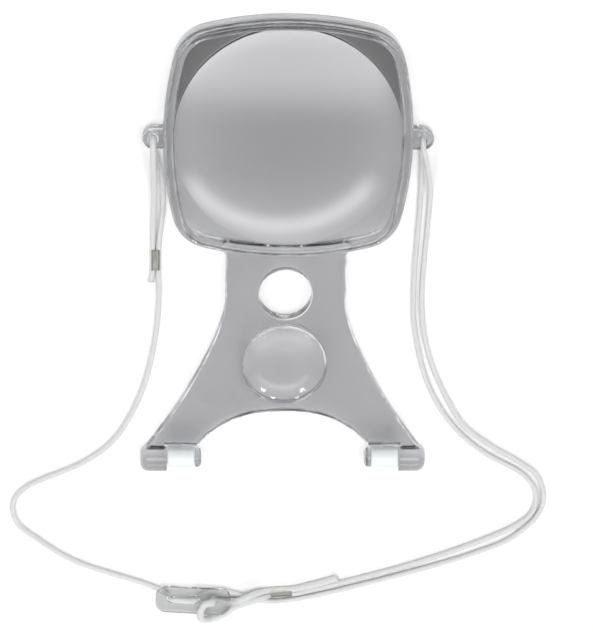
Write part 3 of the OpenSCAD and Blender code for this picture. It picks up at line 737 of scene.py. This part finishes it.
# %% [markdown]
# ## Clear acrylic
# Acrylic, or PMMA, bends light with an index of 1.49. The moulding's skin has very faint sink waves, while
# the lenses are polished. On a white sheet it shows as a pale grey, deeper where there is more plastic, so it
# gets a faint tint at the skin and a grey absorption inside. Light passes a clear plate, so its shadow is
# almost white: shadow rays meet a transparent skin instead.


# %% Clear acrylic
ACRYLIC_IOR = 1.49


def clear_acrylic(name, tint, density, rough, waviness, gloss="#FFFFFF"):
    """Clear acrylic with a skin named skin. Its noise of scale 160 makes waves about 6 mm long."""
    made, tree, out = new_material(name)
    place = add_node(tree, "ShaderNodeTexCoord").outputs["Object"]
    noise = add_node(tree, "ShaderNodeTexNoise", {"Vector": place, "Scale": 160.0, "Detail": 3.0})
    waves = noise.outputs["Fac"]
    bump = add_node(tree, "ShaderNodeBump", {"Height": waves, "Strength": waviness, "Distance": 0.0004})
    haze = add_node(tree, "ShaderNodeMapRange", {"Value": waves, "To Min": rough, "To Max": rough + 0.02})
    skin = add_node(tree, "ShaderNodeBsdfPrincipled", {
        "Normal": bump.outputs["Normal"], "Roughness": haze.outputs["Result"], "Base Color": linear(tint),
        "IOR": ACRYLIC_IOR, "Transmission Weight": 1.0, "Specular Tint": linear(gloss)}, name="skin")
    passing = add_node(tree, "ShaderNodeBsdfTransparent", {"Color": linear("#F2F2F2")})
    shadow = add_node(tree, "ShaderNodeLightPath").outputs["Is Shadow Ray"]
    mix = add_node(tree, "ShaderNodeMixShader", {0: shadow, 1: skin.outputs[0], 2: passing.outputs[0]})
    depth = add_node(tree, "ShaderNodeVolumeAbsorption", {"Color": linear("#808082"), "Density": density})
    tree.links.new(mix.outputs[0], out.inputs["Surface"])
    tree.links.new(depth.outputs[0], out.inputs["Volume"])
    return made


def shade_skin(material, share, tint, colour):
    """Skin colour tint (1 - share) + colour share."""
    tree = material.node_tree
    colours = {0: share, "A": linear(tint), "B": linear(colour)}
    shade = add_node(tree, "ShaderNodeMix", colours, data_type="RGBA")
    tree.links.new(shade.outputs["Result"], tree.nodes["skin"].inputs["Base Color"])


MOULDING_TINT, LENS_TINT, SPOT_TINT, TAB_TINT = "#CACACC", "#CBCBCD", "#D1D1D3", "#D8D9D9"
# moulded, with faint waves: soft highlights and a grey that deepens in the rim
acrylic_moulding = clear_acrylic("moulded_clear_acrylic", MOULDING_TINT, 19.0, 0.02, 0.12)
# polished: smooth, even reflections of the lamps
acrylic_lens = clear_acrylic("polished_clear_acrylic", LENS_TINT, 20.0, 0.02, 0.0)
acrylic_spot = clear_acrylic("polished_clear_acrylic_disc", SPOT_TINT, 26.0, 0.02, 0.0, gloss="#A0A0A0")
# dull from rubbing on the cord: a milky, blurred look
acrylic_tab = clear_acrylic("scuffed_clear_acrylic", TAB_TINT, 40.0, 0.08, 0.06)
print("nodes in the moulding's material", len(acrylic_moulding.node_tree.nodes))

# %% [markdown]
# ## Painted shade in the lens's corners
# The flat corners of the web above the dome look much darker than the rest, and what they mirror can't be
# known. So shade is painted into the lens's skin there: a darker grey outside the dome's circle, and only in
# the upper half.

# %% Corner tint: painted shade
tree = acrylic_lens.node_tree
place = add_node(tree, "ShaderNodeTexCoord").outputs["Object"]
away = add_node(tree, "ShaderNodeVectorMath", {0: place, 1: (0, LENS_Y * MM, 0)}, operation="SUBTRACT")
part = add_node(tree, "ShaderNodeSeparateXYZ", {"Vector": away.outputs["Vector"]}).outputs
flat = add_node(tree, "ShaderNodeCombineXYZ", {"X": part["X"], "Y": part["Y"]})
from_centre = add_node(tree, "ShaderNodeVectorMath", {0: flat.outputs["Vector"]}, operation="LENGTH")
corner = work_out(tree, {"radius": from_centre.outputs["Value"], "up": part["Y"]}, (
    ("outside", "LINEAR", "radius", LENS_R * MM, (LENS_R + 0.3) * MM),
    ("upper", "SMOOTHSTEP", "up", 0.0, 0.02),
    ("share", "PRODUCT", "outside", "upper"),
))
# painted shade: the lens's skin turns a darker grey in its upper corners
shade_skin(acrylic_lens, corner["share"], LENS_TINT, "#949495")
print("nodes in the lens material", len(tree.nodes))

# %% [markdown]
# ## Painted edge highlights
# The rounded edges of clear plastic catch thin glints of the room, while the flat faces stay clear; here those
# glints are painted highlights. A mask finds the edges: the normal is neither flat nor upright, and a patchy
# noise leaves some of the edge clean. There the skin lets less light through and turns nearly white, as a
# painted highlight.


# %% Painted edge highlights
def paint_edge_highlights(material, tint, highlight_strength):
    """Painted highlight: transmission 1 - highlight_strength share, and the skin colour mixed to near white by
    share.
    """
    tree = material.node_tree
    place = add_node(tree, "ShaderNodeTexCoord").outputs["Object"]
    normal = add_node(tree, "ShaderNodeNewGeometry").outputs["Normal"]
    at = add_node(tree, "ShaderNodeSeparateXYZ", {"Vector": place}).outputs
    # scale 75: the painted highlight breaks into patches about 13 mm long, far coarser than real scratches, so
    # that they show
    noise = add_node(tree, "ShaderNodeTexNoise", {"Vector": place, "Scale": 75.0, "Detail": 5.0})
    facing = add_node(tree, "ShaderNodeSeparateXYZ", {"Vector": normal}).outputs["Z"]
    mask = work_out(tree, {"facing": facing, "glint_noise": noise.outputs["Fac"], "y": at["Y"], "z": at["Z"]}, (
        ("rise", "ABSOLUTE", "facing"),
        ("bent", "SMOOTHSTEP", "rise", 0.96, 0.86, 0, 1),  # no flat face
        ("slope", "SMOOTHSTEP", "rise", 0.28, 0.42, 0.25, 1),  # little on upright walls
        ("patches", "SMOOTHSTEP", "glint_noise", 0.40, 0.60, 0.25, 1),
        ("low", "SMOOTHSTEP", "z", 0.0100, 0.0103, 1, 0.3),  # less on the bead and the domes
        ("high", "SMOOTHSTEP", "y", -0.0962, -0.0950, 0.25, 1),  # less on the drums
        ("share", "PRODUCT", "bent", "slope", "patches", "low", "high"),
        ("clear", "MULTIPLY_ADD", "share", -highlight_strength, 1.0),
    ))
    tree.links.new(mask["clear"], tree.nodes["skin"].inputs["Transmission Weight"])
    # painted highlight: the skin turns near white on the masked edges
    shade_skin(material, mask["share"], tint, "#F4F6F7")


# how strongly each clear part gets painted edge highlights
for material, tint, highlight_strength in ((acrylic_moulding, MOULDING_TINT, 0.85), (acrylic_spot, SPOT_TINT, 0.95),
                             (acrylic_tab, TAB_TINT, 0.6)):
    paint_edge_highlights(material, tint, highlight_strength)
    print(material.name, "nodes", len(material.node_tree.nodes))

# %% [markdown]
# ## Vinyl, nylon and steel
# These three are opaque and differ in how a fine mottle and a shader are set. The sleeve is extruded soft
# vinyl, milky because light scatters in it. The cord is braided nylon, off-white with a soft sheen. The
# clips are nickel-plated steel with a satin skin, a little dull from handling.


# %% Opaque materials
def mottled(name, scale, detail, dark, light, **shader):
    """Opaque material whose colour wanders between two tones. Noise of scale n has spots 1000 / n mm wide."""
    made, tree, out = new_material(name)
    place = add_node(tree, "ShaderNodeTexCoord").outputs["Object"]
    noise = add_node(tree, "ShaderNodeTexNoise", {"Vector": place, "Scale": scale, "Detail": detail})
    tone = add_node(tree, "ShaderNodeValToRGB", {"Fac": noise.outputs["Fac"]})
    for element, colour in zip(tone.color_ramp.elements, (dark, light)):
        element.color = linear(colour)
    sockets = {key.replace("_", " "): value for key, value in shader.items()}
    skin = add_node(tree, "ShaderNodeBsdfPrincipled", {"Base Color": tone.outputs["Color"], **sockets})
    tree.links.new(skin.outputs[0], out.inputs["Surface"])
    return made


# extruded soft vinyl: milky white, spots of 1.1 mm for the unevenness of the tube
vinyl = mottled("soft_milky_vinyl_tube", 900.0, 4.0, "#EAF3F8", "#F4FAFE", Roughness=0.42, IOR=1.52,
                Subsurface_Weight=0.85, Subsurface_Radius=(1.0, 1.0, 1.0), Subsurface_Scale=0.003)
# braided nylon yarn: matt with a sheen, spots of 0.7 mm for the filaments, which are finer in the real one
nylon = mottled("braided_white_nylon", 1500.0, 3.0, "#C9CACA", "#E0E0E0", Roughness=0.62, Sheen_Weight=0.3)
# nickel-plated folded steel: a warm grey metal with blurred reflections, spots of 1.4 mm from handling
steel = mottled("plated_folded_steel", 700.0, 5.0, "#94938D", "#BDBCB6", Metallic=1.0, Roughness=0.38)

print("opaque materials", vinyl.name, nylon.name, steel.name)

# %% [markdown]
# ## Joining the frame
# Every piece gets its material, rides on a CAD body and names the CAD nodes it stands for, which are hidden.

# %% Bodies and nodes
pieces = [
    (body, acrylic_moulding, "magnifier", "acrylic_moulding", ["body_moulding"]),
    (main_lens, acrylic_lens, "magnifier", "acrylic_lens", ["main_lens"]),
    (spot_lens, acrylic_spot, "magnifier", "acrylic_lens", ["spot_lens"]),
    (caps["left"], acrylic_moulding, "magnifier", "acrylic_moulding", ["foot_cap_left"]),
    (caps["right"], acrylic_moulding, "magnifier", "acrylic_moulding", ["foot_cap_right"]),
    (sleeves["left"], vinyl, "left_sleeve", "soft_sleeve", ["foot_sleeve_left"]),
    (sleeves["right"], vinyl, "right_sleeve", "soft_sleeve", ["foot_sleeve_right"]),
    (tab, acrylic_tab, "magnifier", "acrylic_tab", ["cord_adjuster"]),
    (clip_left, steel, "magnifier", "plated_clip", ["cord_clip_left"]),
    (clip_right, steel, "magnifier", "plated_clip", ["cord_clip_right"]),
    (cords["left_front"][0], nylon, "magnifier", "braided_cord", ["cord_left_eye", "cord_tail_left"]),
    (cords["left_back"][0], nylon, "magnifier", "braided_cord", ["cord_left_lead"]),
    (cords["right_outer"][0], nylon, "magnifier", "braided_cord", ["cord_right_outer"]),
    (cords["right_inner"][0], nylon, "magnifier", "braided_cord", ["cord_right_inner"]),
    (cords["end_loop"][0], nylon, "magnifier", "braided_cord", ["cord_end_loop", "cord_tail_right"]),
]
for obj, material, rides, finish, nodes in pieces:
    obj.data.materials.append(material)
    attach(obj, rides)
    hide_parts(*nodes)
print("pieces", len(pieces))

# %% [markdown]
# ## The table
# The photo is a product shot from above on white. A sheet of matt white paper stands for it. It lies a hair
# below the piece, so that no two faces fight for the same place.

# %% Stage
TABLE_HALF, TABLE_Z = 3000, -0.2
sheet_corners = [(TABLE_HALF * x, TABLE_HALF * y, TABLE_Z) for x, y in ((-1, -1), (1, -1), (1, 1), (-1, 1))]
floor = make_mesh("floor", sheet_corners, [(0, 1, 2, 3)])
paper, tree, out = new_material("matt_white_paper")
sheet = add_node(tree, "ShaderNodeBsdfDiffuse", {"Color": linear("#FBFBFB")})
tree.links.new(sheet.outputs[0], out.inputs["Surface"])
floor.data.materials.append(paper)
print("table side mm", 2 * TABLE_HALF)

# %% [markdown]
# ## The room, as the lens sees it
# A clear dome mirrors the room, so the room is painted by direction, the unit vector (X, Y, Z). A curved band
# halfway up on the foot side gives the bright crescent at the bottom of the dome. A pale ceiling panel gives
# its light top, and strips on the other sides light up the rim. The grey room in between is brighter towards
# the horizon. Each level was set by comparing tones with the photo.

# %% Room light
BAND_UP, BAND_WIDE = math.radians(43.2), math.radians(3.4)  # its height above the horizon and its half width
BAND_ENDS = math.radians(46), math.radians(32)  # it fades out between these turns from the foot side
BAND_LEVEL, CEILING_LEVEL, ROOM_LEVEL = 11.0, 9.2, 0.53

world = bpy.data.worlds.new("studio")
bpy.context.scene.world = world
world.use_nodes = True
tree = world.node_tree
tree.nodes.clear()
way = add_node(tree, "ShaderNodeTexCoord").outputs["Generated"]
way = add_node(tree, "ShaderNodeSeparateXYZ", {"Vector": way}).outputs
room = work_out(tree, {axis: way[axis] for axis in "XYZ"}, (
    # the band: a bell curve exp(-d^2) across a line that climbs with the square of the turn
    ("height", "ARCSINE", "Z"), ("foot_side", "MULTIPLY", "Y", -1.0), ("turn", "ARCTAN2", "X", "foot_side"),
    ("climb", "MULTIPLY", "turn", "turn"), ("line", "MULTIPLY_ADD", "climb", 0.16, BAND_UP),
    ("off", "SUBTRACT", "height", "line"), ("off", "DIVIDE", "off", BAND_WIDE),
    ("off", "PRODUCT", "off", "off", -1.0), ("bell", "EXPONENT", "off"),
    ("turned", "ABSOLUTE", "turn"), ("ends", "SMOOTHSTEP", "turned", *BAND_ENDS),
    ("band", "PRODUCT", "bell", "ends"),
    # the ceiling panel: soft on its four sides
    ("sideways", "ABSOLUTE", "X"), ("panel_side", "SMOOTHSTEP", "sideways", 0.64, 0.46),
    ("panel_foot", "SMOOTHSTEP", "Y", -0.24, 0.06), ("panel_head", "SMOOTHSTEP", "Y", 0.36, 0.26),
    ("panel_up", "SMOOTHSTEP", "Z", 0.5, 0.7),
    ("ceiling", "PRODUCT", "panel_foot", "panel_head", "panel_side", "panel_up"),
    # the strips: on the left, the right and the head side, strongest at the head
    ("strip_low", "SMOOTHSTEP", "Z", 0.20, 0.30), ("strip_high", "SMOOTHSTEP", "Z", 0.64, 0.56),
    ("outward", "MAXIMUM", "Y", "sideways"), ("strip_side", "SMOOTHSTEP", "outward", 0.66, 0.72),
    ("head", "SMOOTHSTEP", "Y", 0.55, 0.80), ("strip_level", "MULTIPLY_ADD", "head", 1.2, 0.9),
    ("strips", "PRODUCT", "strip_low", "strip_high", "strip_side", "strip_level"),
    # all of it on the grey room
    ("horizon", "SMOOTHSTEP", "Z", 0.40, 0.10), ("grey", "MULTIPLY_ADD", "horizon", 0.50, 0.16),
    ("level", "ADD", "strips", "grey"), ("level", "MULTIPLY_ADD", "ceiling", CEILING_LEVEL, "level"),
    ("level", "MULTIPLY_ADD", "band", BAND_LEVEL, "level"), ("level", "MULTIPLY", "level", ROOM_LEVEL),
))
backdrop = add_node(tree, "ShaderNodeBackground", {"Color": linear("#FFFFFF"), "Strength": room["level"]})
add_node(tree, "ShaderNodeOutputWorld", {"Surface": backdrop.outputs[0]})
print("nodes in the room", len(tree.nodes))

# %% [markdown]
# ## Lamps
# The spot lens shows four small highlights, so there are four lamps. A highlight sits where the dome's
# normal halves the angle between camera and lamp, and that law gives each lamp's place.

# %% Lamps
AIM = Vector((0, -0.055, 0.01))  # the spot lens
LAMPS = (
    ("soft_left", (-0.445, -1.264, 0.894), 0.13, 1.9),
    ("soft_right", (0.489, -1.256, 0.881), 0.13, 1.9),
    ("small_left", (-0.186, -1.444, 0.707), 0.08, 0.75),
    ("small_right", (0.347, -1.429, 0.675), 0.08, 0.75),
)  # name, place in metres, side of the square in metres, watts
for name, place, size, watts in LAMPS:
    data = bpy.data.lights.new(name, "AREA")
    data.size, data.energy = size, watts
    obj = bpy.data.objects.new(name, data)
    bpy.context.scene.collection.objects.link(obj)
    obj.location = place
    obj.rotation_mode = "QUATERNION"
    obj.rotation_quaternion = (AIM - Vector(place)).to_track_quat("-Z", "Y")
print("lamps", len(LAMPS))

# %% [markdown]
# ## Camera
# The picture was taken from above with a long lens, tilted a little towards the feet. Its focal length was
# found in pixels, from how far the known sizes lie apart, and is turned to millimetres on a 36 mm sensor.

# %% Camera
FOCAL_PX, PICTURE_PX, SENSOR = 3371, 632, 36
camera_data = bpy.data.cameras.new("camera")
camera = bpy.data.objects.new("camera", camera_data)
bpy.context.scene.collection.objects.link(camera)
bpy.context.scene.camera = camera
camera_data.lens = FOCAL_PX / PICTURE_PX * SENSOR
camera.location = (-0.0604, 0.5362, 1.4221)
camera.rotation_euler = (math.radians(-21.9), math.radians(-2.262), math.radians(0.975))
bpy.context.scene.view_settings.view_transform = "Standard"
print("camera lens mm", round(camera_data.lens, 1))
